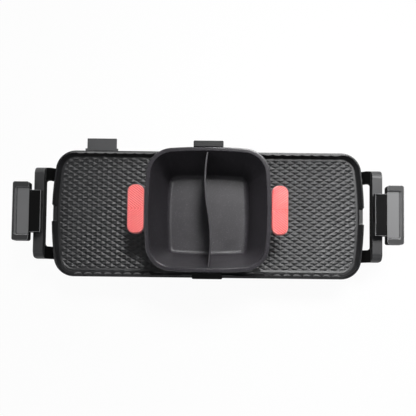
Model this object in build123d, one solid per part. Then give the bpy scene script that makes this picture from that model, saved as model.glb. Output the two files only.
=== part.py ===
from build123d import *

import os
from math import acos, cos, pi, radians, sin, sqrt, tan

# Electric grill with a hot pot in its middle. Millimetres, +X right, +Y back, +Z up.
# The table is at z = 0 and x = 0 is the middle. y = 0 is the middle of the whole footprint,
# so every piece is drawn about the middle of the grill plate and then moved by frame_shift.

# General values
overrun = 5.0
fit_gap = 0.05
seat_gap = 0.3
screw_radius = 2.0
screw_head_radius = 4.0
screw_head_height = 3.0
screw_hole_gap = 0.2

# Heights of the base and the grill plate
foot_height = 8.0
base_height = 52.0
base_floor = 2.5
casting_wall = 4.0
basin_depth = 10.0
platform_drop = 6.0
base_floor_top = foot_height + base_floor
base_top = foot_height + base_height
plate_floor_top = base_top + casting_wall
rim_top = plate_floor_top + basin_depth
platform_top = rim_top - platform_drop

# Grill plate
plate_half_length = 277.4
plate_half_depth = 112.4
plate_corner = 36.0
end_bow = 10.8
rim_width = 3.6
rim_ledge = 1.8
rim_crest = 5.2
rim_fall = 1.6
rim_round = 0.8
rim_lip = 3.0
wall_draft = 21.0
wall_run = 5.0
band_width = 1.2
band_rise = 0.8
wall_depth = basin_depth - band_rise
lobe_count = 8
lobe_rise = 2.1
lobe_rise_at_band = 0.3
lobe_inner_gap = 18.7
lobe_end_gap = 0.5
notch_width = 30.0
notch_depth = 7.0
notch_corner = 3.0

# Pot
pot_half_x = 105.2
pot_setback = 7.9
pot_half_y = plate_half_depth - pot_setback
pot_side_bow = 6.0
pot_corner = 44.0
pot_sink = 2.0
pot_height = 82.0
pot_draft = 19.0
pot_wall = 3.0
pot_floor = 4.0
pot_foot_round = 12.0
lip_overhang = 3.5
lip_height = 3.0
lip_round = 1.2
pot_bottom = base_top - pot_sink
pot_rim = pot_bottom + pot_height
divider_thickness = 3.0
divider_drop = 3.0
divider_sway = 5.0

# Inner ends of the basins and the opening for the pot
opening_gap = 3.0
collar_width = 3.0
collar_rise = 3.0
basin_edge = 1.65
pot_half_at_platform = pot_half_x - lip_overhang - (pot_rim - platform_top) * tan(radians(pot_draft))
basin_inner_x = pot_half_at_platform + basin_edge
basin_inner_corner = 8.0
corner_growth_share = 0.5
ramp_share = 4.25
platform_half_x = basin_inner_x - (basin_depth - platform_drop) * ramp_share
hollow_half_x = platform_half_x - casting_wall
hollow_corner = 22.0

# Ears with their sleeves, and the front and rear lugs with their caps
sleeve_gap = 0.6
sleeve_length = 27.6
sleeve_inner_x = pot_half_x + sleeve_gap
sleeve_outer_x = sleeve_inner_x + sleeve_length
sleeve_half_width = 40.8
sleeve_corner = 12.0
sleeve_height = 13.0
sleeve_round = 3.0
sleeve_wall = 3.5
sleeve_drop = 1.0
ear_thickness = 6.0
lug_reach = 10.8
lug_half_width = 25.0
lug_height = 11.0
lug_corner = 2.0
lug_wall = 3.0
lug_drop = 1.5
lug_gap = 0.4

# Base tray
end_overhang = 22.4
side_overhang = 24.4
base_half_length = plate_half_length - end_overhang
base_half_depth = plate_half_depth - side_overhang
base_corner = 16.0
base_edge = 6.0
base_wall = 2.5
base_inside_y = base_half_depth - base_wall
locator_thickness = 3.0
locator_half_width = 30.0
locator_height = 6.0
locator_gap = 1.0

# Rubber feet
foot_radius = 13.0
foot_top_radius = 11.0
foot_end_inset = 40.0
foot_side_inset = 26.0
foot_x = base_half_length - foot_end_inset
foot_y = base_half_depth - foot_side_inset
foot_stem_radius = 3.0

# Heating plate of the pot and its support
heater_plate_radius = 68.0
heater_plate_thickness = 8.0
heater_plate_hole = 12.0
heater_plate_top = pot_bottom - seat_gap
heater_plate_bottom = heater_plate_top - heater_plate_thickness
ring_inset = 20.0
ring_radius = heater_plate_radius - ring_inset
ring_tube_radius = 4.0
ring_lead_radius = 2.0
ring_lead_length = 12.0
ring_lead_angles = (100.0, 440.0)
support_margin = 2.0
support_radius = heater_plate_radius + support_margin
support_wall = 1.5
support_flange = 10.0
window_count = 6
window_width = 30.0
window_height = 18.0

# Service cover under the middle
service_end_inset = 30.0
service_side_inset = 36.0
service_half_length = support_radius - service_end_inset
service_half_depth = support_radius - service_side_inset
service_corner = 6.0
cover_margin = 9.0
cover_thickness = 2.0
cover_slot_count = 5
cover_slot_length = 52.0
cover_slot_width = 4.0
cover_slot_pitch = 11.0
cover_boss_radius = 5.0
cover_boss_height = 8.0

# Sprung temperature button
button_radius = 10.0
button_head = 5.5
stem_radius = 3.0
stem_gap = 0.3
button_travel = 2.0
holder_wall = 1.5
holder_flange_radius = 20.0
holder_depth = 14.0
holder_gap = 1.5
spring_wire = 0.7
spring_turns = 5

# Thermal fuse
fuse_radius = 2.0
fuse_length = 14.0
fuse_y = 30.0

# Control panel, knobs, thermostats and lamps. The thermostats stand clear of the support ring.
control_rise = 2.0
control_z = foot_height + base_height / 2 + control_rise
knob_radius = 15.0
knob_grip_radius = 12.0
knob_skirt = 4.0
knob_height = 14.0
knob_flutes = 16
knob_flute_radius = 1.6
knob_pointer_width = 3.0
knob_pointer_rise = 1.2
knob_gap = 0.4
shaft_radius = 3.0
shaft_hole_gap = 0.4
shaft_in_knob = 10.0
shaft_in_thermostat = 12.0
lamp_x = 18.0
lamp_radius = 2.5
lamp_rise = 1.5
lamp_depth = 10.0
thermostat_half_width = 14.0
thermostat_half_height = 12.0
thermostat_depth = 22.0
thermostat_corner = 3.0
control_gap = 5.6
thermostat_rear_y = base_inside_y - thermostat_depth
control_clearance = sqrt(max(0, (support_radius + control_gap) ** 2 - thermostat_rear_y ** 2))
knob_x = thermostat_half_width + max(lamp_x + lamp_radius + control_gap, control_clearance)
panel_margin = 18.0
panel_half_length = knob_x + knob_radius + panel_margin
panel_inset = 5.0
panel_height = base_height - 2 * panel_inset
panel_thickness = 3.0
panel_corner = 8.0

# Reflectors, grill heaters and their saddles
wire_space = 23.0
reflector_end_gap = 9.0
reflector_side_gap = 13.5
reflector_inner_x = knob_x + thermostat_half_width + wire_space
reflector_outer_x = base_half_length - reflector_end_gap
reflector_half_depth = base_inside_y - reflector_side_gap
reflector_corner = 12.0
reflector_sheet = 1.0
reflector_rise = 12.0
reflector_drop = 20.0
reflector_bottom = base_top - reflector_drop
rib_inset = 27.0
rib_places_x = (reflector_inner_x + rib_inset, reflector_outer_x - rib_inset)
rib_thickness = 3.0
rib_foot_gap = 4.0
rib_half_depth = foot_y - rib_foot_gap
vent_count = 7
vent_rib_gap = 8.0
vent_length = rib_places_x[1] - rib_places_x[0] - 2 * vent_rib_gap
vent_middle_x = (rib_places_x[0] + rib_places_x[1]) / 2
vent_width = 5.0
vent_pitch = 13.0
tube_radius = 3.3
tube_drop = seat_gap
tube_level = base_top - tube_drop - tube_radius
tube_lead = 4.0
tube_lead_x = reflector_inner_x - tube_lead
tube_inner_inset = 34.0
tube_outer_inset = 18.0
tube_side_inset = 16.0
tube_inner_x = reflector_inner_x + tube_inner_inset
tube_outer_x = reflector_outer_x - tube_outer_inset
tube_outer_y = reflector_half_depth - tube_side_inset
tube_inner_share = 0.34
tube_bend_share = 0.9
tube_inner_y = tube_outer_y * tube_inner_share
tube_bend = tube_inner_y * tube_bend_share
saddle_length = 8.0
saddle_width = 12.0
saddle_inset = 26.0
saddle_places = ((tube_inner_x + saddle_inset, tube_outer_y), (tube_outer_x - saddle_inset, tube_inner_y))
saddle_bite = 1.5

# Power inlet
inlet_share = 0.6903
inlet_x = -plate_half_length * inlet_share
shroud_half_width = 26.5
shroud_draft = 10.0
shroud_gap = 1.3
shroud_length = 22.6
shroud_front = plate_half_depth + shroud_gap
shroud_rear = shroud_front + shroud_length
shroud_fall = 8.0
shroud_height = 32.0
shroud_top = rim_top - shroud_fall
shroud_bottom = shroud_top - shroud_height
shroud_wall = 2.5
flange_half_width = 29.0
flange_thickness = 3.6
flange_rise = 2.0
flange_height = 14.0
flange_top = shroud_top + flange_rise
neck_wall = 2.0
neck_gap = 1.0
pin_fall = 15.0
pin_z = base_top - pin_fall
pin_radius = 2.4
pin_spread = 8.5
pin_tip = 3.5
pin_tail = 2.0
insulator_half_width = 15.0
insulator_half_height = 6.0
insulator_bottom = pin_z - insulator_half_height
insulator_top = pin_z + insulator_half_height
insulator_lip = 1.5
insulator_lip_height = 2.0
insulator_tail = 1.0
cavity_half_width = insulator_half_width + insulator_lip + seat_gap
cavity_bottom = shroud_bottom + shroud_wall
cavity_top = shroud_top - shroud_wall
cavity_floor = 2.0

# Terminal block and wiring
terminal_inlet_gap = 24.7
terminal_length = 35.0
terminal_depth = 18.0
terminal_wall_gap = 5.5
terminal_head_gap = 7.5
terminal_edge = 1.5
terminal_x_low = inlet_x + terminal_inlet_gap
terminal_x_high = terminal_x_low + terminal_length
terminal_y_high = base_inside_y - terminal_wall_gap
terminal_y_low = terminal_y_high - terminal_depth
terminal_height = reflector_bottom - base_floor_top - terminal_head_gap
wire_radius = 1.5
wire_bend = 4.0
wire_wall_gap = 8.0
wire_mid_gap = 15.5
wire_near_gap = 20.0
wire_front_gap = 11.5
wire_rear_y = base_inside_y - wire_wall_gap
wire_mid_y = base_inside_y - wire_mid_gap
wire_near_y = base_inside_y - wire_near_gap
wire_front_y = base_inside_y - wire_front_gap
wire_low_share = 0.28
wire_high_share = 0.72
wire_low_z = base_floor_top + terminal_height * wire_low_share
wire_high_z = base_floor_top + terminal_height * wire_high_share
wire_link_drop = 10.0
wire_link_z = control_z - wire_link_drop
wire_drop_gap = 8.0
wire_drop_x = tube_lead_x - wire_drop_gap
wire_turn_gap = 12.0
wire_cross_x = min(reflector_inner_x + wire_drop_gap, -terminal_x_high - wire_turn_gap)

# End handles
finger_gap = 11.9
bar_width = 17.4
bar_inner_x = plate_half_length + finger_gap
bar_outer_x = bar_inner_x + bar_width
bar_rise = 7.0
bar_top = rim_top + bar_rise
bar_height = 18.0
bar_bottom = bar_top - bar_height
bar_end_round = 15.0
handle_half_width = 81.7
arm_width = 22.0
arm_drop = 6.0
arm_flat = 16.0
handle_corner = 4.0
handle_inner_corner = 5.0
handle_round = 1.2
foot_plate_thickness = 5.0
foot_plate_inset = 9.0
foot_plate_half_width = handle_half_width - foot_plate_inset
foot_plate_fall = 4.0
foot_plate_height = 24.0
foot_plate_top = base_top - foot_plate_fall
foot_plate_bottom = foot_plate_top - foot_plate_height
handle_screw_inset = 32.0
handle_screw_y = foot_plate_half_width - handle_screw_inset
handle_screw_z = (foot_plate_top + foot_plate_bottom) / 2
screw_bite = 3.5

# Fold-up grips, their inlays and their pins
hinge_radius = 7.9
hinge_clearance = 0.3
hinge_x = bar_inner_x + hinge_radius - hinge_clearance
hinge_z = bar_top + hinge_radius + hinge_clearance
grip_top = hinge_z + hinge_radius
grip_bottom = hinge_z - hinge_radius
grip_reach = 32.8
grip_gap = 3.9
grip_outer_x = bar_outer_x + grip_reach
grip_inner_x = bar_outer_x + grip_gap
grip_half_width = 51.4
grip_corner = 4.0
grip_round = 1.2
neck_end_share = 0.9
neck_over = 2.1
grip_neck_half_width = 36.7
grip_neck_end_x = bar_outer_x + neck_over
recess_depth = 4.0
recess_edge = 4.2
recess_end = 9.0
recess_corner = 4.0
recess_slope = 30.0
recess_run = recess_depth * tan(radians(recess_slope))
recess_floor = grip_top - recess_depth
recess_half_width = grip_half_width - recess_end
inlay_thickness = 1.2
inlay_groove = 1.6
pocket_margin = 3.0
pocket_depth = 8.5
eye_radius = 6.4
eye_half_width = 12.0
eye_web = 3.5
eye_gap = 0.4
hinge_pin_radius = 2.0
hinge_pin_inset = 2.7
hinge_pin_half_length = grip_neck_half_width - hinge_pin_inset

# The footprint runs from the front lug to the rear of the power inlet.
frame_shift = (pot_half_y + lug_reach - shroud_rear) / 2


# Shapes that several pieces use

def block(x_low, x_high, y_low, y_high, z_low, z_high):
    """A box between two opposite corners."""
    middle = Pos((x_low + x_high) / 2, (y_low + y_high) / 2, (z_low + z_high) / 2)
    return middle * Box(x_high - x_low, y_high - y_low, z_high - z_low)


def rod_x(y, z, x_low, x_high, radius):
    """A round bar along X."""
    return Pos((x_low + x_high) / 2, y, z) * Rot(0, 90, 0) * Cylinder(radius, x_high - x_low)


def rod_y(x, z, y_low, y_high, radius):
    """A round bar along Y."""
    return Pos(x, (y_low + y_high) / 2, z) * Rot(90, 0, 0) * Cylinder(radius, y_high - y_low)


def rod_z(x, y, z_low, z_high, radius):
    """A round bar along Z."""
    return Pos(x, y, (z_low + z_high) / 2) * Cylinder(radius, z_high - z_low)


def side_profile(points, half_width):
    """A profile drawn in XZ, as wide as this each way along Y."""
    outline = Polyline(*[(x, -half_width, z) for x, z in points], close=True)
    return extrude(make_face(outline), amount=2 * half_width, dir=(0, 1, 0))


def rounded_slab(half_x, half_y, corner, z_low, z_high):
    """An upright prism on a rectangle with round corners."""
    return Pos(0, 0, z_low) * extrude(RectangleRounded(2 * half_x, 2 * half_y, corner), z_high - z_low)


def turned(points):
    """A solid of revolution about Z, from its half section as radius and height."""
    outline = Polyline(*[(radius, 0, height) for radius, height in points], close=True)
    return revolve(make_face(outline), Axis.Z)


def wire_run(points, radius, bend):
    """A round wire along straight runs with a tangent arc at each corner."""
    path = FilletPolyline(*points, radius=bend)
    return sweep(Plane(path @ 0, z_dir=path % 0) * Circle(radius), path)


def corner_arc(start, centre, end):
    """A quarter-like round from start to end about centre."""
    start, centre, end = Vector(*start), Vector(*centre), Vector(*end)
    middle = centre + ((start + end) / 2 - centre).normalized() * (start - centre).length
    return ThreePointArc(start, middle, end)


def both_sides(piece):
    """A piece of the right side and its mirror image on the left."""
    return piece, mirror(piece, about=Plane.YZ)


# Base tray

def base_shell():
    outer = rounded_slab(base_half_length, base_half_depth, base_corner, foot_height, base_top)
    outer = fillet(outer.faces().sort_by(Axis.Z)[0].edges(), base_edge)
    tray = outer - rounded_slab(
        base_half_length - base_wall, base_inside_y, base_corner - base_wall, base_floor_top,
        base_top + overrun,
    )
    for side in (-1, 1):
        for place in rib_places_x:
            x = side * place
            tray += block(
                x - rib_thickness / 2, x + rib_thickness / 2, -rib_half_depth, rib_half_depth,
                foot_height + base_floor / 2, reflector_bottom,
            )
    for x, y in cover_screw_places():
        tray += rod_z(x, y, base_floor_top - base_floor / 2, base_floor_top + cover_boss_height,
                      cover_boss_radius)
        tray -= rod_z(x, y, foot_height - overrun, base_floor_top + cover_boss_height / 2,
                      screw_radius + fit_gap)
    tray -= rounded_slab(
        service_half_length, service_half_depth, service_corner, foot_height - overrun,
        base_floor_top + overrun,
    )
    for x, y in foot_places():
        tray -= rod_z(x, y, foot_height - overrun, base_floor_top + overrun, foot_stem_radius + fit_gap)
    tray -= floor_vents()
    tray -= wall_holes()
    return tray


def floor_vents():
    """Rows of rounded slots under each reflector."""
    slot = extrude(SlotOverall(vent_length, vent_width), base_floor + 2 * overrun)
    rows = []
    for side in (-1, 1):
        for row in range(vent_count):
            y = (row - (vent_count - 1) / 2) * vent_pitch
            rows.append(Pos(side * vent_middle_x, y, foot_height - overrun) * slot)
    return rows


def wall_holes():
    """Holes for the shafts and lamps in front, the inlet behind and the handle screws at the ends."""
    holes = []
    for side in (-1, 1):
        holes.append(rod_y(side * knob_x, control_z, -base_half_depth - overrun,
                           -base_inside_y + overrun, shaft_radius + shaft_hole_gap))
        holes.append(rod_y(side * lamp_x, control_z, -base_half_depth - overrun,
                           -base_inside_y + overrun, lamp_radius + fit_gap))
        for y in (-handle_screw_y, handle_screw_y):
            ends = sorted((side * (base_half_length - base_wall - overrun),
                           side * (base_half_length + overrun)))
            holes.append(rod_x(y, handle_screw_z, ends[0], ends[1], screw_radius + screw_hole_gap))
    holes.append(block(
        inlet_x - insulator_half_width - fit_gap, inlet_x + insulator_half_width + fit_gap,
        base_inside_y - overrun, base_half_depth + overrun,
        insulator_bottom - fit_gap, insulator_top + fit_gap,
    ))
    return holes


def foot_places():
    return [(x, y) for x in (-foot_x, foot_x) for y in (-foot_y, foot_y)]


def rubber_feet():
    foot = turned((
        (0, 0), (foot_top_radius, 0), (foot_radius, foot_height / 2), (foot_radius, foot_height),
        (foot_stem_radius, foot_height), (foot_stem_radius, base_floor_top), (0, base_floor_top),
    ))
    return [Pos(x, y, 0) * foot for x, y in foot_places()]


def cover_screw_places():
    x = service_half_length + cover_margin / 2
    y = service_half_depth + cover_margin / 2
    return [(i * x, j * y) for i in (-1, 1) for j in (-1, 1)]


def bottom_cover():
    cover = rounded_slab(
        service_half_length + 2 * cover_margin, service_half_depth + 2 * cover_margin,
        service_corner + cover_margin, foot_height - cover_thickness, foot_height,
    )
    cover += rounded_slab(
        service_half_length - seat_gap, service_half_depth - seat_gap, service_corner,
        foot_height - cover_thickness, base_floor_top,
    )
    cover -= rounded_slab(
        service_half_length - cover_thickness, service_half_depth - cover_thickness, service_corner,
        foot_height, base_floor_top + overrun,
    )
    slot = extrude(SlotOverall(cover_slot_length, cover_slot_width), cover_thickness + 2 * overrun)
    for row in range(cover_slot_count):
        y = (row - (cover_slot_count - 1) / 2) * cover_slot_pitch
        cover -= Pos(0, y, foot_height - cover_thickness - overrun) * slot
    for x, y in cover_screw_places():
        cover -= rod_z(x, y, foot_height - cover_thickness - overrun, foot_height + overrun,
                       screw_radius + screw_hole_gap)
    return cover


def cover_screws():
    under = foot_height - cover_thickness
    screw = turned((
        (0, under - screw_head_height), (screw_head_radius, under - screw_head_height),
        (screw_head_radius, under), (screw_radius, under),
        (screw_radius, base_floor_top + cover_boss_height / 2 - seat_gap),
        (0, base_floor_top + cover_boss_height / 2 - seat_gap),
    ))
    return [Pos(x, y, 0) * screw for x, y in cover_screw_places()]


# Grill plate

def end_corner(inset):
    """Where a long side, a corner round and the bow of an end meet, this far inside the rim."""
    bow_radius = (plate_half_depth ** 2 + end_bow ** 2) / (2 * end_bow) - inset
    bow_centre = plate_half_length - inset - bow_radius
    corner = plate_corner - inset
    corner_y = plate_half_depth - inset - corner
    corner_x = bow_centre + sqrt((bow_radius - corner) ** 2 - corner_y ** 2)
    reach = bow_radius / (bow_radius - corner)
    tangent = (bow_centre + (corner_x - bow_centre) * reach, corner_y * reach)
    return corner_x, corner_y, tangent


def right_end(inset):
    """The round, bow and round of the right end, from the front side to the rear side."""
    corner_x, corner_y, (tangent_x, tangent_y) = end_corner(inset)
    side = plate_half_depth - inset
    return [
        corner_arc((corner_x, -side), (corner_x, -corner_y), (tangent_x, -tangent_y)),
        ThreePointArc((tangent_x, -tangent_y), (plate_half_length - inset, 0), (tangent_x, tangent_y)),
        corner_arc((tangent_x, tangent_y), (corner_x, corner_y), (corner_x, side)),
    ]


def plate_outline(inset):
    corner_x = end_corner(inset)[0]
    side = plate_half_depth - inset
    right = right_end(inset)
    left = [mirror(edge, about=Plane.YZ) for edge in right]
    front = Line((-corner_x, -side), (corner_x, -side))
    rear = Line((-corner_x, side), (corner_x, side))
    return make_face([front, *right, rear, *left])


def lobed_side(x_places, wall_y, rise):
    """A row of shallow lobes that swell from a long wall towards the middle of the plate."""
    bulge_y = wall_y - rise if wall_y > 0 else wall_y + rise
    return [
        ThreePointArc((start, wall_y), ((start + end) / 2, bulge_y), (end, wall_y))
        for start, end in zip(x_places, x_places[1:])
    ]


def lobe_places():
    """Where the lobes of a long wall meet, from the basin's inner corner to its end."""
    first = basin_inner_x + lobe_inner_gap
    pitch = (end_corner(rim_width)[0] - lobe_end_gap - first) / lobe_count
    return [first + i * pitch for i in range(lobe_count + 1)]


def basin_outline(depth, drawn_in, rise):
    """The right basin's outline at a depth below the rim, drawn in from the rim's inner edge."""
    inset = rim_width + drawn_in
    wall_y = plate_half_depth - inset
    inner_x = basin_inner_x - (basin_depth - depth) * ramp_share
    corner = basin_inner_corner + (basin_depth - depth) * corner_growth_share
    corner_x = end_corner(inset)[0]
    places = lobe_places()
    front_inner = (inner_x + corner, -wall_y)
    rear_inner = (inner_x + corner, wall_y)
    edges = [corner_arc((inner_x, -wall_y + corner), (inner_x + corner, -wall_y + corner), front_inner)]
    edges.append(Line(front_inner, (places[0], -wall_y)))
    edges += lobed_side(places, -wall_y, rise)
    edges.append(Line((places[-1], -wall_y), (corner_x, -wall_y)))
    edges += right_end(inset)
    edges.append(Line((corner_x, wall_y), (places[-1], wall_y)))
    edges += lobed_side(places[::-1], wall_y, rise)
    edges.append(Line((places[0], wall_y), rear_inner))
    edges.append(corner_arc(rear_inner, (inner_x + corner, wall_y - corner), (inner_x, wall_y - corner)))
    edges.append(Line((inner_x, wall_y - corner), (inner_x, -wall_y + corner)))
    return Pos(0, 0, rim_top - depth) * make_face(edges)


def basin():
    """The hollow of the right basin: a lobed wall, a sloping band at its foot and a flat floor."""
    return loft([
        basin_outline(0, 0, lobe_rise),
        basin_outline(wall_depth, wall_run, lobe_rise_at_band),
        basin_outline(basin_depth, wall_run + band_width, lobe_rise_at_band),
    ], ruled=True)


def pot_half_sizes(level):
    """Half width and half depth of the pot's outer wall at a level."""
    drawn_in = lip_overhang + (pot_rim - level) * tan(radians(pot_draft))
    return pot_half_x - drawn_in, pot_half_y - drawn_in


def bowed_square(half_x, half_y, bow, corner):
    """A square with four bowed sides and round corners."""
    x = half_x - bow
    y = half_y - bow
    sides = [
        ThreePointArc((x, -y), (half_x, 0), (x, y)),
        ThreePointArc((x, y), (0, half_y), (-x, y)),
        ThreePointArc((-x, y), (-half_x, 0), (-x, -y)),
        ThreePointArc((-x, -y), (0, -half_y), (x, -y)),
    ]
    face = make_face(sides)
    return fillet(face.vertices(), corner)


def pot_outline(level, outset):
    """The pot's outer wall at a level, moved outwards by a distance."""
    half_x, half_y = pot_half_sizes(level)
    rim_inset = pot_half_x - half_x
    return bowed_square(half_x + outset, half_y + outset, pot_side_bow, pot_corner - rim_inset + outset)


def end_notch():
    """The pouring notch in the right end's rim."""
    section = RectangleRounded(notch_width, 2 * notch_depth, notch_corner)
    tool = extrude(Plane.YZ * section, plate_half_length)
    return Pos(basin_inner_x + plate_half_length / 2, 0, rim_top) * tool


def plate_body():
    """The plate before its basins are cut: a drafted skirt, a ledge and a rim that slopes up to its crest."""
    ledge_top = rim_top - rim_fall
    lip_bottom = ledge_top - rim_lip
    lip = extrude(Pos(0, 0, ledge_top) * plate_outline(0), amount=-rim_lip)
    lip = fillet(lip.faces().sort_by(Axis.Z)[-1].edges(), rim_round)
    slope = loft([
        Pos(0, 0, ledge_top) * plate_outline(rim_ledge), Pos(0, 0, rim_top) * plate_outline(rim_crest),
    ], ruled=True)
    skirt = extrude(Pos(0, 0, lip_bottom) * plate_outline(0), amount=base_top - lip_bottom, taper=wall_draft)
    return lip + slope + skirt


def grill_plate():
    body = plate_body()
    for pocket in both_sides(basin()):
        body -= pocket
    platform = Rectangle(2 * basin_inner_x, 2 * (plate_half_depth - rim_crest))
    body -= extrude(Pos(0, 0, rim_top) * platform, amount=-platform_drop, taper=wall_draft)
    collar = pot_outline(platform_top, opening_gap + collar_width)
    body += Pos(0, 0, base_top) * extrude(collar, platform_top + collar_rise - base_top)
    body -= Pos(0, 0, base_top - overrun) * extrude(
        pot_outline(platform_top, opening_gap), rim_top - base_top + 2 * overrun
    )
    body -= rounded_slab(
        hollow_half_x, base_inside_y, hollow_corner, base_top - overrun, platform_top - casting_wall
    )
    for notch in both_sides(end_notch()):
        body -= notch
    locator_outer = base_half_length - base_wall - locator_gap
    locator = block(
        locator_outer - locator_thickness, locator_outer, -locator_half_width, locator_half_width,
        base_top - locator_height, base_top + casting_wall / 2,
    )
    for rib in both_sides(locator):
        body += rib
    return body


# Pot

def pot_body():
    """The pot's outer form below its lip."""
    body = extrude(Pos(0, 0, pot_rim) * pot_outline(pot_rim, 0), amount=-pot_height, taper=pot_draft)
    return fillet(body.faces().sort_by(Axis.Z)[0].edges(), pot_foot_round)


def pot_cavity(clearance):
    """The hollow of the pot, smaller by a clearance."""
    hollow = extrude(
        Pos(0, 0, pot_rim) * pot_outline(pot_rim, -pot_wall - clearance),
        amount=-(pot_height - pot_floor - clearance), taper=pot_draft,
    )
    return fillet(hollow.faces().sort_by(Axis.Z)[0].edges(), pot_foot_round - pot_wall)


def pot_lip():
    lip = extrude(bowed_square(pot_half_x, pot_half_y, pot_side_bow, pot_corner), lip_height)
    lip = fillet(lip.faces().sort_by(Axis.Z)[-1].edges(), lip_round)
    return Pos(0, 0, pot_rim - lip_height) * lip


def pot_shell():
    shell = pot_body() + pot_lip()
    ear_top = pot_rim - sleeve_drop - sleeve_wall
    for side in (-1, 1):
        ends = sorted((0, side * (sleeve_outer_x - sleeve_wall)))
        half_width = sleeve_half_width - sleeve_wall
        shell += block(ends[0], ends[1], -half_width, half_width, ear_top - ear_thickness, ear_top)
    tongue_top = pot_rim - lug_drop - lug_wall
    tongue_bottom = tongue_top - lug_height + 2 * lug_wall
    for side in (-1, 1):
        ends = sorted((0, side * (pot_half_y + lug_reach - lug_wall)))
        half_width = lug_half_width - lug_wall
        shell += block(-half_width, half_width, ends[0], ends[1], tongue_bottom, tongue_top)
    return shell - pot_cavity(0)


def pot_divider():
    """The wall that parts the pot, in a slow S from rear to front."""
    path = Wire([
        ThreePointArc((0, pot_half_y, 0), (-divider_sway, pot_half_y / 2, 0), (0, 0, 0)),
        ThreePointArc((0, 0, 0), (divider_sway, -pot_half_y / 2, 0), (0, -pot_half_y, 0)),
    ])
    section = Plane(path @ 0, z_dir=path % 0, x_dir=(0, 0, 1)) * Rectangle(2 * pot_rim, divider_thickness)
    wall = sweep(section, path)
    wall &= pot_cavity(fit_gap)
    return wall - block(-pot_half_x, pot_half_x, -pot_half_y, pot_half_y, pot_rim - divider_drop,
                        pot_rim + overrun)


def ear_sleeve():
    """The silicone sleeve over the right ear."""
    top = pot_rim - sleeve_drop
    half_x = (sleeve_outer_x - sleeve_inner_x) / 2
    sleeve = rounded_slab(half_x, sleeve_half_width, sleeve_corner, top - sleeve_height, top)
    sleeve = fillet(sleeve.faces().sort_by(Axis.Z)[-1].edges(), sleeve_round)
    sleeve = fillet(sleeve.faces().sort_by(Axis.Z)[0].edges(), sleeve_round)
    sleeve = Pos(sleeve_inner_x + half_x, 0, 0) * sleeve
    half_width = sleeve_half_width - sleeve_wall + fit_gap
    ear_top = top - sleeve_wall + fit_gap
    return sleeve - block(0, sleeve_outer_x - sleeve_wall + fit_gap, -half_width, half_width,
                          ear_top - ear_thickness - 2 * fit_gap, ear_top)


def lug(side):
    """The black cap over the front or rear tongue of the pot."""
    top = pot_rim - lug_drop
    near = pot_half_y + lug_gap
    far = pot_half_y + lug_reach
    cap = rounded_slab(lug_half_width, (far - near) / 2, lug_corner, top - lug_height, top)
    cap = fillet(cap.faces().sort_by(Axis.Z)[-1].edges(), lug_corner / 2)
    cap = Pos(0, side * (near + far) / 2, 0) * cap
    ends = sorted((0, side * (far - lug_wall + fit_gap)))
    half_width = lug_half_width - lug_wall + fit_gap
    return cap - block(-half_width, half_width, ends[0], ends[1],
                       top - lug_height + lug_wall - fit_gap, top - lug_wall + fit_gap)


# Heating plate and sprung button under the pot

def pot_heating_plate():
    plate = turned((
        (heater_plate_hole, heater_plate_bottom), (heater_plate_radius, heater_plate_bottom),
        (heater_plate_radius, heater_plate_top - heater_plate_thickness / 8),
        (heater_plate_radius - heater_plate_thickness / 8, heater_plate_top),
        (heater_plate_hole, heater_plate_top),
    ))
    groove_half = ring_tube_radius + fit_gap
    groove = turned((
        (ring_radius - groove_half, heater_plate_bottom - overrun),
        (ring_radius + groove_half, heater_plate_bottom - overrun),
        (ring_radius + groove_half, heater_plate_bottom + groove_half),
        (ring_radius - groove_half, heater_plate_bottom + groove_half),
    ))
    return plate - groove


def pot_heater_ring():
    """An open ring of tube with a terminal down from each end."""
    start, end = ring_lead_angles
    path = CenterArc((0, 0, heater_plate_bottom), ring_radius, start, end - start)
    ring = sweep(Plane(path @ 0, z_dir=path % 0) * Circle(ring_tube_radius), path)
    for angle in ring_lead_angles:
        x = ring_radius * cos(radians(angle))
        y = ring_radius * sin(radians(angle))
        ring += rod_z(x, y, heater_plate_bottom - ring_tube_radius - ring_lead_length,
                      heater_plate_bottom - ring_tube_radius / 2, ring_lead_radius)
    return ring


def heating_plate_support():
    inner = support_radius - support_wall
    flange_inner = support_radius - support_flange
    top = heater_plate_bottom
    ring = turned((
        (inner, base_floor_top), (support_radius, base_floor_top), (support_radius, top),
        (flange_inner, top), (flange_inner, top - support_wall), (inner, top - support_wall),
    ))
    middle_z = (base_floor_top + top) / 2
    window = Pos(support_radius, 0, middle_z) * Box(2 * support_flange, window_width, window_height)
    for turn in range(window_count):
        ring -= Rot(0, 0, (turn + 1 / 2) * 360 / window_count) * window
    return ring


def holder_levels():
    """Top of the holder's floor, and the underside of the button's head."""
    holder_floor_top = heater_plate_bottom - holder_depth + holder_wall
    head_bottom = heater_plate_top - button_head
    return holder_floor_top, head_bottom


def sensor_holder():
    inner = button_radius + holder_gap
    outer = inner + holder_wall
    floor_top = holder_levels()[0]
    bottom = floor_top - holder_wall
    hole = stem_radius + stem_gap
    return turned((
        (hole, bottom), (outer, bottom), (outer, heater_plate_bottom - holder_wall),
        (holder_flange_radius, heater_plate_bottom - holder_wall),
        (holder_flange_radius, heater_plate_bottom), (inner, heater_plate_bottom),
        (inner, floor_top), (hole, floor_top),
    ))


def sensor_button():
    floor_top, head_bottom = holder_levels()
    stem_bottom = floor_top - holder_wall - button_travel
    edge = button_head / 5
    return turned((
        (0, stem_bottom), (stem_radius, stem_bottom), (stem_radius, head_bottom),
        (button_radius, head_bottom), (button_radius, heater_plate_top - edge),
        (button_radius - edge, heater_plate_top), (0, heater_plate_top),
    ))


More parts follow.
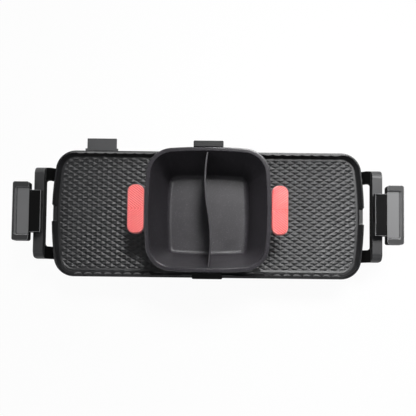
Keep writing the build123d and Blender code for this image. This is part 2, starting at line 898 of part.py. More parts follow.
def sensor_spring():
    floor_top, head_bottom = holder_levels()
    coil_radius = (stem_radius + button_radius) / 2
    height = head_bottom - floor_top - 2 * spring_wire
    path = Helix(pitch=height / spring_turns, height=height, radius=coil_radius)
    coil = sweep(Plane(path @ 0, z_dir=path % 0) * Circle(spring_wire), path, is_frenet=True)
    return Pos(0, 0, floor_top + spring_wire) * coil


def thermal_fuse():
    z = heater_plate_bottom - fuse_radius - fit_gap
    return rod_x(fuse_y, z, -fuse_length / 2, fuse_length / 2, fuse_radius)


# Grill heaters and reflectors

def reflector():
    """The pressed tray under the right grill heater."""
    half_x = (reflector_outer_x - reflector_inner_x) / 2
    top = reflector_bottom + reflector_rise
    tray = rounded_slab(half_x, reflector_half_depth, reflector_corner, reflector_bottom, top)
    tray -= rounded_slab(
        half_x - reflector_sheet, reflector_half_depth - reflector_sheet,
        reflector_corner - reflector_sheet, reflector_bottom + reflector_sheet, top + overrun,
    )
    return Pos(reflector_inner_x + half_x, 0, 0) * tray


def grill_heater():
    """The tubular heater of the right basin, bent into an M."""
    points = [
        (tube_lead_x, -tube_outer_y), (tube_outer_x, -tube_outer_y), (tube_outer_x, -tube_inner_y),
        (tube_inner_x, -tube_inner_y), (tube_inner_x, tube_inner_y), (tube_outer_x, tube_inner_y),
        (tube_outer_x, tube_outer_y), (tube_lead_x, tube_outer_y),
    ]
    return wire_run([(x, y, tube_level) for x, y in points], tube_radius, tube_bend)


def heater_saddles():
    saddles = []
    for side in (-1, 1):
        for place, across in saddle_places:
            for y in (-across, across):
                x = side * place
                saddle = block(
                    x - saddle_length / 2, x + saddle_length / 2, y - saddle_width / 2,
                    y + saddle_width / 2, reflector_bottom + reflector_sheet, tube_level - saddle_bite,
                )
                saddles.append(saddle - rod_x(y, tube_level, x - saddle_length, x + saddle_length,
                                              tube_radius + fit_gap))
    return saddles


# Control panel

def panel_face():
    return -base_half_depth - panel_thickness


def control_panel():
    panel = extrude(RectangleRounded(2 * panel_half_length, panel_height, panel_corner), panel_thickness)
    panel = chamfer(panel.faces().sort_by(Axis.Z)[-1].edges(), panel_thickness / 3)
    panel = Pos(0, -base_half_depth, control_z) * Rot(90, 0, 0) * panel
    for side in (-1, 1):
        panel -= rod_y(side * knob_x, control_z, panel_face() - overrun, -base_half_depth + overrun,
                       shaft_radius + shaft_hole_gap)
        panel -= rod_y(side * lamp_x, control_z, panel_face() - overrun, -base_half_depth + overrun,
                       lamp_radius + fit_gap)
    return panel


def knob(side):
    """A fluted knob with a raised pointer, its face to the front."""
    body = turned((
        (0, 0), (knob_radius, 0), (knob_radius, knob_skirt / 2), (knob_grip_radius, knob_skirt),
        (knob_grip_radius - knob_pointer_rise, knob_height), (0, knob_height),
    ))
    for flute in range(knob_flutes):
        body -= Rot(0, 0, (flute + 1 / 2) * 360 / knob_flutes) * rod_z(
            knob_grip_radius + knob_flute_radius / 2, 0, knob_skirt, knob_height + overrun,
            knob_flute_radius,
        )
    body += block(-knob_pointer_width / 2, knob_pointer_width / 2, 0, knob_grip_radius - knob_pointer_width,
                  knob_height - knob_pointer_rise, knob_height + knob_pointer_rise)
    body -= rod_z(0, 0, -overrun, shaft_in_knob, shaft_radius + fit_gap)
    return Pos(side * knob_x, panel_face() - knob_gap, control_z) * Rot(90, 0, 0) * body


def knob_shaft(side):
    front = panel_face() - knob_gap - shaft_in_knob + seat_gap
    rear = -base_inside_y + shaft_in_thermostat - seat_gap
    return rod_y(side * knob_x, control_z, front, rear, shaft_radius)


def thermostat(side):
    wall_inside = -base_inside_y
    body = extrude(
        RectangleRounded(2 * thermostat_half_width, 2 * thermostat_half_height, thermostat_corner),
        thermostat_depth,
    )
    body = Pos(side * knob_x, wall_inside + thermostat_depth, control_z) * Rot(90, 0, 0) * body
    return body - rod_y(side * knob_x, control_z, wall_inside - overrun, wall_inside + shaft_in_thermostat,
                        shaft_radius + fit_gap)


def indicator_lamps():
    lens = turned((
        (0, 0), (lamp_radius, 0), (lamp_radius, lamp_depth), (lamp_radius * 2 / 3, lamp_depth + lamp_rise),
        (0, lamp_depth + lamp_rise),
    ))
    return [Pos(side * lamp_x, panel_face() + lamp_depth, control_z) * Rot(90, 0, 0) * lens
            for side in (-1, 1)]


# Power inlet

def drafted_block(half_width, y_low, y_high, z_low, z_high):
    """A block whose sides draw in downwards by the shroud's draft, this wide at the shroud's top."""
    draw = tan(radians(shroud_draft))
    low = half_width - (shroud_top - z_low) * draw
    high = half_width - (shroud_top - z_high) * draw
    outline = Polyline((-low, y_low, z_low), (low, y_low, z_low), (high, y_low, z_high),
                       (-high, y_low, z_high), close=True)
    return extrude(make_face(outline), amount=y_high - y_low, dir=(0, 1, 0))


def socket_shroud():
    flange_rear = shroud_front + flange_thickness
    body = drafted_block(shroud_half_width, shroud_front, shroud_rear, shroud_bottom, shroud_top)
    body = fillet(body.faces().sort_by(Axis.Y)[-1].edges(), shroud_wall / 2)
    body += drafted_block(flange_half_width, shroud_front, flange_rear, flange_top - flange_height, flange_top)
    neck_half_width = insulator_half_width + neck_wall
    body += block(-neck_half_width, neck_half_width, base_half_depth, flange_rear,
                  insulator_bottom - neck_wall, base_top - neck_gap)
    body -= block(-cavity_half_width, cavity_half_width, flange_rear + cavity_floor, shroud_rear + overrun,
                  cavity_bottom, cavity_top)
    body -= block(-insulator_half_width - fit_gap, insulator_half_width + fit_gap,
                  base_half_depth - overrun, shroud_rear, insulator_bottom - fit_gap,
                  insulator_top + fit_gap)
    return Pos(inlet_x, 0, 0) * body


def insulator_span():
    """The insulator's rear face in the cavity and its inner end inside the base."""
    rear = shroud_front + flange_thickness + cavity_floor + insulator_lip_height
    return base_inside_y - insulator_tail, rear


def pin_places():
    return [(inlet_x - pin_spread, pin_z), (inlet_x, pin_z), (inlet_x + pin_spread, pin_z)]


def socket_insulator():
    inner, rear = insulator_span()
    body = block(-insulator_half_width, insulator_half_width, inner, rear, insulator_bottom, insulator_top)
    body += block(
        -insulator_half_width - insulator_lip, insulator_half_width + insulator_lip,
        rear - insulator_lip_height, rear, insulator_bottom - insulator_lip, insulator_top + insulator_lip,
    )
    body = Pos(inlet_x, 0, 0) * body
    for x, z in pin_places():
        body -= rod_y(x, z, inner - overrun, rear + overrun, pin_radius + fit_gap)
    return body


def socket_pins():
    inner = insulator_span()[0]
    pins = []
    for x, z in pin_places():
        pin = rod_y(x, z, inner - pin_tail, shroud_rear - pin_tip, pin_radius)
        pins.append(fillet(pin.faces().sort_by(Axis.Y)[-1].edges(), pin_radius / 2))
    return pins


# Inner wiring

def terminal_block():
    body = block(terminal_x_low, terminal_x_high, terminal_y_low, terminal_y_high, base_floor_top,
                 base_floor_top + terminal_height)
    return chamfer(body.faces().sort_by(Axis.Z)[-1].edges(), terminal_edge)


def wiring():
    """Leads from the inlet to the terminals, on to the controls and to the heaters."""
    pin_end = insulator_span()[0] - pin_tail
    left_pin, earth_pin, right_pin = [x for x, z in pin_places()]
    thermostat_side = knob_x + thermostat_half_width
    runs = []
    for x, level in ((left_pin, wire_low_z), (right_pin, wire_high_z)):
        runs.append([(x, pin_end, pin_z), (x, wire_rear_y, pin_z), (x, wire_rear_y, level),
                     (terminal_x_low, wire_rear_y, level)])
    runs.append([(terminal_x_high, wire_near_y, wire_link_z), (-wire_cross_x, wire_near_y, wire_link_z),
                 (-wire_cross_x, -wire_front_y, wire_link_z), (-thermostat_side, -wire_front_y, wire_link_z)])
    for side in (-1, 1):
        runs.append([(side * tube_lead_x, -tube_outer_y, tube_level),
                     (side * wire_drop_x, -tube_outer_y, tube_level),
                     (side * wire_drop_x, -wire_front_y, control_z),
                     (side * thermostat_side, -wire_front_y, control_z)])
    runs.append([(-tube_lead_x, tube_outer_y, tube_level), (-wire_drop_x, tube_outer_y, tube_level),
                 (-wire_drop_x, wire_mid_y, wire_high_z), (terminal_x_high, wire_mid_y, wire_high_z)])
    runs.append([(tube_lead_x, tube_outer_y, tube_level), (wire_drop_x, tube_outer_y, tube_level),
                 (wire_drop_x, wire_rear_y, wire_low_z), (terminal_x_high, wire_rear_y, wire_low_z)])
    wires = [wire_run(run, wire_radius, wire_bend) for run in runs]
    inner_side = knob_x - thermostat_half_width
    wires.append(rod_x(-wire_front_y, wire_link_z, -inner_side, inner_side, wire_radius))
    return wires


# End handles and grips of the right side

def handle_form():
    """The handle's outer form: one profile from the side, one from the end and one from above."""
    wall = base_half_length
    flat_end = wall + arm_flat
    arm_heel = flat_end - foot_plate_height / 3
    side = side_profile((
        (wall, foot_plate_bottom), (arm_heel, foot_plate_bottom), (bar_inner_x, bar_bottom),
        (bar_outer_x, bar_bottom), (bar_outer_x, bar_top), (bar_inner_x, bar_top),
        (bar_inner_x, bar_top - arm_drop), (flat_end, foot_plate_top), (wall, foot_plate_top),
    ), handle_half_width)
    end_low = foot_plate_bottom - 2 * bar_end_round
    end_outline = RectangleRounded(2 * handle_half_width, bar_top - end_low, bar_end_round)
    end = Pos(0, 0, (bar_top + end_low) / 2) * extrude(Plane.YZ * end_outline, bar_outer_x + overrun)
    plan_half_x = (bar_outer_x - wall) / 2 + handle_corner
    plan = rounded_slab(plan_half_x, handle_half_width, handle_corner, foot_plate_bottom, bar_top)
    return side & end & (Pos(bar_outer_x - plan_half_x, 0, 0) * plan)


def handle():
    """A U of moulded resin: foot plate on the base, two rising arms and a bar with a hinge eye."""
    wall = base_half_length
    body = handle_form()
    gap_half_x = (bar_inner_x - wall - foot_plate_thickness) / 2
    gap = rounded_slab(gap_half_x, handle_half_width - arm_width, handle_inner_corner,
                       foot_plate_bottom - overrun, bar_top + overrun)
    body -= Pos(wall + foot_plate_thickness + gap_half_x, 0, 0) * gap
    for side in (-1, 1):
        ends = sorted((side * foot_plate_half_width, side * (handle_half_width + overrun)))
        body -= block(wall - overrun, wall + foot_plate_thickness, ends[0], ends[1],
                      foot_plate_bottom - overrun, foot_plate_top + overrun)
    eye = rod_y(hinge_x, hinge_z, -eye_half_width, eye_half_width, eye_radius)
    eye += block(hinge_x - eye_web, hinge_x + eye_web, -eye_half_width, eye_half_width,
                 bar_top - handle_round, hinge_z)
    body += eye
    body -= rod_y(hinge_x, hinge_z, -eye_half_width - overrun, eye_half_width + overrun,
                  hinge_pin_radius + fit_gap)
    for y in (-handle_screw_y, handle_screw_y):
        body -= rod_x(y, handle_screw_z, wall - overrun, wall + screw_bite + seat_gap,
                      screw_radius + fit_gap)
    return body


def handle_screws():
    """Four screws from inside the base, two to each handle."""
    inside = base_half_length - base_wall
    screws = []
    for y in (-handle_screw_y, handle_screw_y):
        screw = rod_x(y, handle_screw_z, inside - screw_head_height, inside, screw_head_radius)
        screw += rod_x(y, handle_screw_z, inside - screw_head_height / 2, base_half_length + screw_bite,
                       screw_radius)
        screws += both_sides(screw)
    return screws


def hinge_pin():
    return rod_y(hinge_x, hinge_z, -hinge_pin_half_length, hinge_pin_half_length, hinge_pin_radius)


def grip_neck():
    """The neck over the bar: an upright end, a round heel about the hinge and a tongue into the head."""
    y = -grip_neck_half_width
    heel_angle = acos(neck_end_share)
    end_x = hinge_x - hinge_radius * neck_end_share
    heel_z = hinge_z - hinge_radius * sin(heel_angle)
    middle_angle = (heel_angle + pi / 2) / 2
    heel_middle = (hinge_x - hinge_radius * cos(middle_angle), y, hinge_z - hinge_radius * sin(middle_angle))
    tongue_x = grip_inner_x + pocket_margin
    outline = make_face([
        Line((end_x, y, grip_top), (grip_neck_end_x, y, grip_top)),
        Line((grip_neck_end_x, y, grip_top), (grip_neck_end_x, y, recess_floor)),
        Line((grip_neck_end_x, y, recess_floor), (tongue_x, y, recess_floor)),
        Line((tongue_x, y, recess_floor), (tongue_x, y, grip_bottom)),
        Line((tongue_x, y, grip_bottom), (hinge_x, y, grip_bottom)),
        ThreePointArc((hinge_x, y, grip_bottom), heel_middle, (end_x, y, heel_z)),
        Line((end_x, y, heel_z), (end_x, y, grip_top)),
    ])
    neck = extrude(outline, amount=2 * grip_neck_half_width, dir=(0, 1, 0))
    top = neck.faces().filter_by(Axis.Z).sort_by(Axis.Z)[-1]
    return fillet([edge for edge in top.edges() if edge.center().X < grip_neck_end_x - fit_gap], grip_round)


def grip_head():
    """The head of the T: a shallow dish with sloping walls on three sides, hollow below."""
    half_x = (grip_outer_x - grip_inner_x) / 2
    head = rounded_slab(half_x, grip_half_width, grip_corner, grip_bottom, grip_top)
    head = fillet(head.faces().sort_by(Axis.Z)[-1].edges(), grip_round)
    head = Pos(grip_inner_x + half_x, 0, 0) * head
    recess_half_x = (grip_outer_x - recess_edge - grip_inner_x + overrun) / 2
    opening = RectangleRounded(2 * recess_half_x, 2 * recess_half_width, recess_corner)
    recess = extrude(Pos(0, 0, grip_top) * opening, amount=-recess_depth, taper=recess_slope)
    head -= Pos(grip_inner_x - overrun + recess_half_x, 0, 0) * recess
    pocket_half_x = half_x - pocket_margin
    pocket = rounded_slab(pocket_half_x, grip_half_width - pocket_margin, recess_corner, grip_bottom - overrun,
                          grip_bottom + pocket_depth)
    return head - Pos(grip_outer_x - pocket_margin - pocket_half_x, 0, 0) * pocket


def grip_inlay():
    """The flat panel on the floor of the head's dish, with a groove along its outer edge."""
    low = grip_inner_x + seat_gap
    high = grip_outer_x - recess_edge - recess_run - inlay_groove
    panel = rounded_slab((high - low) / 2, recess_half_width - recess_run - seat_gap,
                         recess_corner - recess_run, recess_floor, recess_floor + inlay_thickness)
    return Pos((low + high) / 2, 0, 0) * panel


def grip():
    body = grip_head() + grip_neck()
    body -= block(
        hinge_x - hinge_radius - overrun, hinge_x + eye_web + eye_gap, -eye_half_width - eye_gap,
        eye_half_width + eye_gap, hinge_z - hinge_radius - overrun, hinge_z + eye_web + eye_gap,
    )
    body -= rod_y(hinge_x, hinge_z, -eye_half_width - eye_gap, eye_half_width + eye_gap,
                  eye_radius + eye_gap)
    return body - rod_y(hinge_x, hinge_z, -hinge_pin_half_length - seat_gap, hinge_pin_half_length + seat_gap,
                        hinge_pin_radius + fit_gap)


# Every node with its solids

right_handle, left_handle = both_sides(handle())
right_grip, left_grip = both_sides(grip())
right_inlay, left_inlay = both_sides(grip_inlay())
right_pin, left_pin = both_sides(hinge_pin())
right_reflector, left_reflector = both_sides(reflector())
right_heater, left_heater = both_sides(grill_heater())
right_sleeve, left_sleeve = both_sides(ear_sleeve())

nodes = {
    "base_shell": base_shell(),
    "bottom_cover": bottom_cover(),
    "cover_screws": cover_screws(),
    "rubber_feet": rubber_feet(),
    "left_reflector": left_reflector,
    "right_reflector": right_reflector,
    "left_grill_heater": left_heater,
    "right_grill_heater": right_heater,
    "heater_saddles": heater_saddles(),
    "heating_plate_support": heating_plate_support(),
    "pot_heating_plate": pot_heating_plate(),
    "pot_heater_ring": pot_heater_ring(),
    "sensor_holder": sensor_holder(),
    "sensor_spring": sensor_spring(),
    "sensor_button": sensor_button(),
    "thermal_fuse": thermal_fuse(),
    "control_panel": control_panel(),
    "indicator_lamps": indicator_lamps(),
    "grill_thermostat": thermostat(-1),
    "pot_thermostat": thermostat(1),
    "grill_knob_shaft": knob_shaft(-1),
    "pot_knob_shaft": knob_shaft(1),
    "grill_knob": knob(-1),
    "pot_knob": knob(1),
    "terminal_block": terminal_block(),
    "wiring": wiring(),
    "socket_shroud": socket_shroud(),
    "socket_insulator": socket_insulator(),
    "socket_pins": socket_pins(),
    "left_handle": left_handle,
    "right_handle": right_handle,
    "handle_screws": handle_screws(),
    "left_hinge_pin": left_pin,
    "right_hinge_pin": right_pin,
    "left_grip": left_grip,
    "right_grip": right_grip,
    "left_grip_inlay": left_inlay,
    "right_grip_inlay": right_inlay,
    "grill_plate": grill_plate(),
    "pot_shell": pot_shell(),
    "pot_divider": pot_divider(),
    "left_ear_sleeve": left_sleeve,
    "right_ear_sleeve": right_sleeve,
    "front_lug": lug(-1),
    "rear_lug": lug(1),
}

os.makedirs("parts", exist_ok=True)
for name, solids in nodes.items():
    pieces = solids if isinstance(solids, list) else [solids]
    placed = [Pos(0, frame_shift, 0) * solid for piece in pieces for solid in piece.solids()]
    export_step(placed[0] if len(placed) == 1 else Compound(children=placed), f"parts/{name}.step")
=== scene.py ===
# Electric grill with a hot pot: its finishes, embossed grill floors, ribbed sleeves and the studio round it.
import math

import bmesh
import bpy
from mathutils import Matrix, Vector


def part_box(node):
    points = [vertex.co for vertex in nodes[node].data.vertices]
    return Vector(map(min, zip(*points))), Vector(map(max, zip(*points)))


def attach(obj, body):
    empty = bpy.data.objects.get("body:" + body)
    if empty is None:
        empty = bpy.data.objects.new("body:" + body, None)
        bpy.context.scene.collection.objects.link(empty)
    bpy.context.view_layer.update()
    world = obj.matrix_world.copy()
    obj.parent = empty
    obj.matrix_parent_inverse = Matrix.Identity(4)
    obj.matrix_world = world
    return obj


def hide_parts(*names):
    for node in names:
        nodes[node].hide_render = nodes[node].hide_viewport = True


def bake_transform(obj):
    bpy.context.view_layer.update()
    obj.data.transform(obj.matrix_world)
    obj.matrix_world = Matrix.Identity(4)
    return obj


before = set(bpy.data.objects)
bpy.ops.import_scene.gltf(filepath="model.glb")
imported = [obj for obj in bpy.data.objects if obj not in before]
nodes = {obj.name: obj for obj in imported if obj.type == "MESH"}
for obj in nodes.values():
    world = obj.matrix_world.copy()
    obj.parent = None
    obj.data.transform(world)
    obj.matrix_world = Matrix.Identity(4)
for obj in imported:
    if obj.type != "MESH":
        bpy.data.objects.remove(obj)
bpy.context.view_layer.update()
mm = 0.001
sides = {"left": -1, "right": 1}

# Places on the cooker, from the solids
basin_depth = 10 * mm
handle_arm_reach = 11.2 * mm
plate_low, plate_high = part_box("grill_plate")
middle_y = (plate_low.y + plate_high.y) / 2
rim_z = plate_high.z
pot_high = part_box("pot_shell")[1]
basin_floor_z = rim_z - basin_depth
grip_neck_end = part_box("right_grip_inlay")[0].x
handle_arm_end = plate_high.x + handle_arm_reach


# Building blocks of the finishes. A source is a pair: a shader node and the name or number of its output.

def feed(tree, end, sources):
    """Links a node's inputs to their sources."""
    for name, (start, output) in sources.items():
        tree.links.new(start.outputs[output], end.inputs[name])


def put(tree, kind, inputs=None, sources=None, **settings):
    """One shader node with its settings, its fixed inputs and its linked inputs."""
    made = tree.nodes.new(kind)
    for name, value in settings.items():
        setattr(made, name, value)
    for name, value in (inputs or {}).items():
        made.inputs[name].default_value = value
    feed(tree, made, sources or {})
    return made


def mixed(tree, share, first, second):
    """The first colour where the share is 0, and the second where it is 1."""
    return put(tree, "ShaderNodeMixRGB", sources={"Fac": share, "Color1": first, "Color2": second})


noise_range = {"From Min": 0.3, "From Max": 0.7}


def changing_gloss(tree, given, noise):
    """Roughness that follows a noise between the effect's two gloss inputs."""
    return put(tree, "ShaderNodeMapRange", noise_range,
               {"Value": (noise, "Fac"), "To Min": (given, "Gloss low"), "To Max": (given, "Gloss high")})


def changing_tone(tree, color, noise, darkest, lightest):
    """A colour that a noise makes darker and lighter."""
    shade = put(tree, "ShaderNodeMapRange", {**noise_range, "To Min": darkest, "To Max": lightest},
                {"Value": (noise, "Fac")})
    return put(tree, "ShaderNodeHueSaturation", sources={"Value": (shade, "Result"), "Color": color})


def effect(name, inputs, outputs):
    """An empty shader node group with its named sockets, and its two end nodes."""
    tree = bpy.data.node_groups.new(name, "ShaderNodeTree")
    for label, kind, value in inputs:
        socket = tree.interface.new_socket(name=label, in_out="INPUT", socket_type=kind)
        socket.default_value = value
    for label, kind in outputs:
        tree.interface.new_socket(name=label, in_out="OUTPUT", socket_type=kind)
    return tree, tree.nodes.new("NodeGroupInput"), tree.nodes.new("NodeGroupOutput")


FLOAT = "NodeSocketFloat"
COLOR = "NodeSocketColor"


def coating_effect():
    """Sprayed non-stick coating: fine flecks, slow mottle, orange peel, and a glossier rim above a height."""
    tree, given, out = effect(
        "Sprayed coating",
        [("Base", COLOR, (0.04, 0.04, 0.045, 1)), ("Fleck", COLOR, (0.2, 0.2, 0.2, 1)),
         ("Fleck scale", FLOAT, 900.0), ("Fleck share", FLOAT, 0.1),
         ("Gloss low", FLOAT, 0.35), ("Gloss high", FLOAT, 0.5),
         ("Rim height", FLOAT, 1.0), ("Rim gloss", FLOAT, 0.2)],
        [("Color", COLOR), ("Roughness", FLOAT), ("Height", FLOAT)],
    )
    fleck_radius = 0.32
    place = (put(tree, "ShaderNodeTexCoord"), "Object")

    cells = put(tree, "ShaderNodeTexVoronoi", None, {"Vector": place, "Scale": (given, "Fleck scale")}, feature="F1")
    near = put(tree, "ShaderNodeMath", {1: fleck_radius}, {0: (cells, "Distance")}, operation="LESS_THAN")
    chosen = put(tree, "ShaderNodeSeparateColor", sources={"Color": (cells, "Color")})
    few = put(tree, "ShaderNodeMath", None, {0: (chosen, "Red"), 1: (given, "Fleck share")}, operation="LESS_THAN")
    fleck = put(tree, "ShaderNodeMath", None, {0: (near, 0), 1: (few, 0)}, operation="MULTIPLY")
    flecked = mixed(tree, (fleck, 0), (given, "Base"), (given, "Fleck"))

    mottle = put(tree, "ShaderNodeTexNoise", {"Scale": 26.0, "Detail": 5.0, "Roughness": 0.6}, {"Vector": place})
    tone = changing_tone(tree, (flecked, "Color"), mottle, 0.86, 1.14)
    gloss = changing_gloss(tree, given, mottle)

    along = put(tree, "ShaderNodeSeparateXYZ", sources={"Vector": place})
    rim = put(tree, "ShaderNodeMath", None, {0: (along, "Z"), 1: (given, "Rim height")}, operation="GREATER_THAN")
    both = put(tree, "ShaderNodeMapRange", None,
               {"Value": (rim, 0), "To Min": (gloss, "Result"), "To Max": (given, "Rim gloss")})
    peel = put(tree, "ShaderNodeTexNoise", {"Scale": 620.0, "Detail": 2.0}, {"Vector": place})
    feed(tree, out, {"Color": (tone, "Color"), "Roughness": (both, "Result"), "Height": (peel, "Fac")})
    return tree


def grain_effect():
    """Spark-eroded mould grain: pebbled height, slow change of gloss, clear coat by face and by reach, and tones by
    face and by reach, which paint shade on sides and highlight on slopes.
    """
    tree, given, out = effect(
        "Mould grain",
        [("Base", COLOR, (0.04, 0.04, 0.04, 1)), ("Slope", COLOR, (0.04, 0.04, 0.04, 1)),
         ("Side", COLOR, (0.04, 0.04, 0.04, 1)), ("Inner reach", FLOAT, 0.0),
         ("Inner base", COLOR, (0.04, 0.04, 0.04, 1)), ("Inner slope", COLOR, (0.04, 0.04, 0.04, 1)),
         ("Outer coat", FLOAT, 0.0), ("Inner coat", FLOAT, 0.0),
         ("Grain scale", FLOAT, 1400.0), ("Tone change", FLOAT, 0.1),
         ("Gloss low", FLOAT, 0.4), ("Gloss high", FLOAT, 0.5)],
        [("Color", COLOR), ("Roughness", FLOAT), ("Height", FLOAT), ("Coat", FLOAT)],
    )
    upward_range = {"From Min": 0.15, "From Max": 0.45}
    level_range = {"From Min": 0.955, "From Max": 0.985}
    noise_middle = 0.5
    coordinates = put(tree, "ShaderNodeTexCoord")
    place = (coordinates, "Object")

    pebble = put(tree, "ShaderNodeTexVoronoi", None, {"Vector": place, "Scale": (given, "Grain scale")},
                 feature="SMOOTH_F1")
    slow = put(tree, "ShaderNodeTexNoise", {"Scale": 34.0, "Detail": 4.0}, {"Vector": place})
    gloss = changing_gloss(tree, given, slow)

    along = put(tree, "ShaderNodeSeparateXYZ", sources={"Vector": place})
    distance = put(tree, "ShaderNodeMath", None, {0: (along, "X")}, operation="ABSOLUTE")
    outer = put(tree, "ShaderNodeMath", None, {0: (distance, 0), 1: (given, "Inner reach")}, operation="GREATER_THAN")
    base = mixed(tree, (outer, 0), (given, "Inner base"), (given, "Base"))
    slope = mixed(tree, (outer, 0), (given, "Inner slope"), (given, "Slope"))

    # Painted light by facing: sides take the side colour, painted shade, sloped faces the slope colour, painted
    # highlight, and level tops the base colour.
    facing = put(tree, "ShaderNodeSeparateXYZ", sources={"Vector": (coordinates, "Normal")})
    upward = put(tree, "ShaderNodeMapRange", upward_range, {"Value": (facing, "Z")}, interpolation_type="SMOOTHSTEP")
    level = put(tree, "ShaderNodeMapRange", level_range, {"Value": (facing, "Z")}, interpolation_type="SMOOTHSTEP")
    slope_light_side_shade = mixed(tree, (upward, "Result"), (given, "Side"), (slope, "Color"))
    faces = mixed(tree, (level, "Result"), (slope_light_side_shade, "Color"), (base, "Color"))
    spread = put(tree, "ShaderNodeMath", {1: noise_middle}, {0: (slow, "Fac")}, operation="SUBTRACT")
    change = put(tree, "ShaderNodeMath", {2: 1.0}, {0: (spread, 0), 1: (given, "Tone change")},
                 operation="MULTIPLY_ADD")
    tone = put(tree, "ShaderNodeHueSaturation", sources={"Value": (change, 0), "Color": (faces, "Color")})

    share = put(tree, "ShaderNodeMapRange", None,
                {"Value": (outer, 0), "To Min": (given, "Inner coat"), "To Max": (given, "Outer coat")})
    coat = put(tree, "ShaderNodeMath", None, {0: (upward, "Result"), 1: (share, "Result")}, operation="MULTIPLY")
    feed(tree, out, {"Color": (tone, "Color"), "Roughness": (gloss, "Result"), "Height": (pebble, "Distance"),
                     "Coat": (coat, 0)})
    return tree


def brushed_effect():
    """Rolled or turned metal: streaks along X with changing gloss."""
    tree, given, out = effect(
        "Rolled metal",
        [("Base", COLOR, (0.6, 0.6, 0.6, 1)), ("Streak scale", FLOAT, 300.0), ("Gloss low", FLOAT, 0.25),
         ("Gloss high", FLOAT, 0.45)],
        [("Color", COLOR), ("Roughness", FLOAT), ("Height", FLOAT)],
    )
    streak_stretch = (0.04, 1.0, 1.0)
    place = (put(tree, "ShaderNodeTexCoord"), "Object")
    long = put(tree, "ShaderNodeMapping", {"Scale": streak_stretch}, {"Vector": place})
    streak = put(tree, "ShaderNodeTexNoise", {"Detail": 3.0},
                 {"Vector": (long, "Vector"), "Scale": (given, "Streak scale")})
    tone = changing_tone(tree, (given, "Base"), streak, 0.85, 1.1)
    gloss = changing_gloss(tree, given, streak)
    feed(tree, out, {"Color": (tone, "Color"), "Roughness": (gloss, "Result"), "Height": (streak, "Fac")})
    return tree


sprayed_coating = coating_effect()
mould_grain = grain_effect()
rolled_metal = brushed_effect()


def finish(name, group, values, bump_height, shader_values, edge_round=0.0):
    """A material whose colour, gloss and relief come from one of the shared effects, its edges rounded if asked."""
    material = bpy.data.materials.new(name)
    material.use_nodes = True
    tree = material.node_tree
    shader = tree.nodes["Principled BSDF"]
    look = put(tree, "ShaderNodeGroup", node_tree=group)
    # The painted side shade and slope highlight are the base colour unless a finish gives them.
    for label in ("Slope", "Side"):
        if label in look.inputs:
            look.inputs[label].default_value = values["Base"]
    for label, value in values.items():
        look.inputs[label].default_value = value
    bump = put(tree, "ShaderNodeBump", {"Strength": 1.0, "Distance": bump_height}, {"Height": (look, "Height")})
    feed(tree, shader, {"Base Color": (look, "Color"), "Roughness": (look, "Roughness"), "Normal": (bump, "Normal")})
    if "Outer coat" in values:
        feed(tree, shader, {"Coat Weight": (look, "Coat")})
    if edge_round:
        rounded = put(tree, "ShaderNodeBevel", {"Radius": edge_round}, samples=8)
        feed(tree, bump, {"Normal": (rounded, "Normal")})
    for label, value in shader_values.items():
        shader.inputs[label].default_value = value
    return material


# Relief heights of the finishes, and values that several of them share
coating_relief = 0.03 * mm
grain_relief = 0.02 * mm
silicone_relief = 0.01 * mm
rubber_relief = 0.03 * mm
braid_relief = 0.1 * mm
metal_relief = 0.01 * mm
lens_relief = 0.005 * mm
plate_rim_depth = 2.0 * mm
pot_rim_depth = 2.5 * mm
pot_edge_round = 2.2 * mm
fine_grain = {"Grain scale": 1500.0, "Tone change": 0.2}
silicone_grain = {"Grain scale": 1800.0, "Tone change": 0.12}
satin_coat = {"Specular IOR Level": 0.08, "Coat Roughness": 0.42}
bare_metal = {"Metallic": 1.0}

grill_coating = finish(
    "grill_coating", sprayed_coating,
    {"Base": (0.018, 0.018, 0.019, 1), "Fleck": (0.06, 0.06, 0.062, 1), "Fleck scale": 1100.0, "Fleck share": 0.10,
     "Gloss low": 0.36, "Gloss high": 0.46, "Rim height": rim_z - plate_rim_depth, "Rim gloss": 0.24},
    coating_relief, {"Specular IOR Level": 0.5})
pot_coating = finish(
    "pot_coating", sprayed_coating,
    {"Base": (0.040, 0.037, 0.042, 1), "Fleck": (0.13, 0.12, 0.14, 1), "Fleck scale": 900.0, "Fleck share": 0.16,
     "Gloss low": 0.34, "Gloss high": 0.46, "Rim height": pot_high.z - pot_rim_depth, "Rim gloss": 0.17},
    coating_relief, {"Specular IOR Level": 0.5}, pot_edge_round)
# The base's sides are a little darker than its tops: painted shade.
black_moulding = finish(
    "black_moulding", mould_grain,
    {**fine_grain, "Base": (0.022, 0.022, 0.023, 1), "Side": (0.016, 0.016, 0.017, 1), "Gloss low": 0.56,
     "Gloss high": 0.66},
    grain_relief, {"Specular IOR Level": 0.3})
# The front lug is a near-black copy of the lug moulding: painted shade from the pot.
front_lug_painted_shade = finish(
    "front_lug_painted_shade", mould_grain,
    {**fine_grain, "Base": (0.002, 0.002, 0.002, 1), "Gloss low": 0.40, "Gloss high": 0.50},
    grain_relief, {"Specular IOR Level": 0.05})
# The rear lug's sides are a little darker than its tops: painted shade.
rear_lug_moulding = finish(
    "rear_lug_moulding", mould_grain,
    {**fine_grain, "Base": (0.016, 0.016, 0.017, 1), "Side": (0.014, 0.014, 0.014, 1), "Gloss low": 0.40,
     "Gloss high": 0.50},
    grain_relief, {"Specular IOR Level": 0.25})
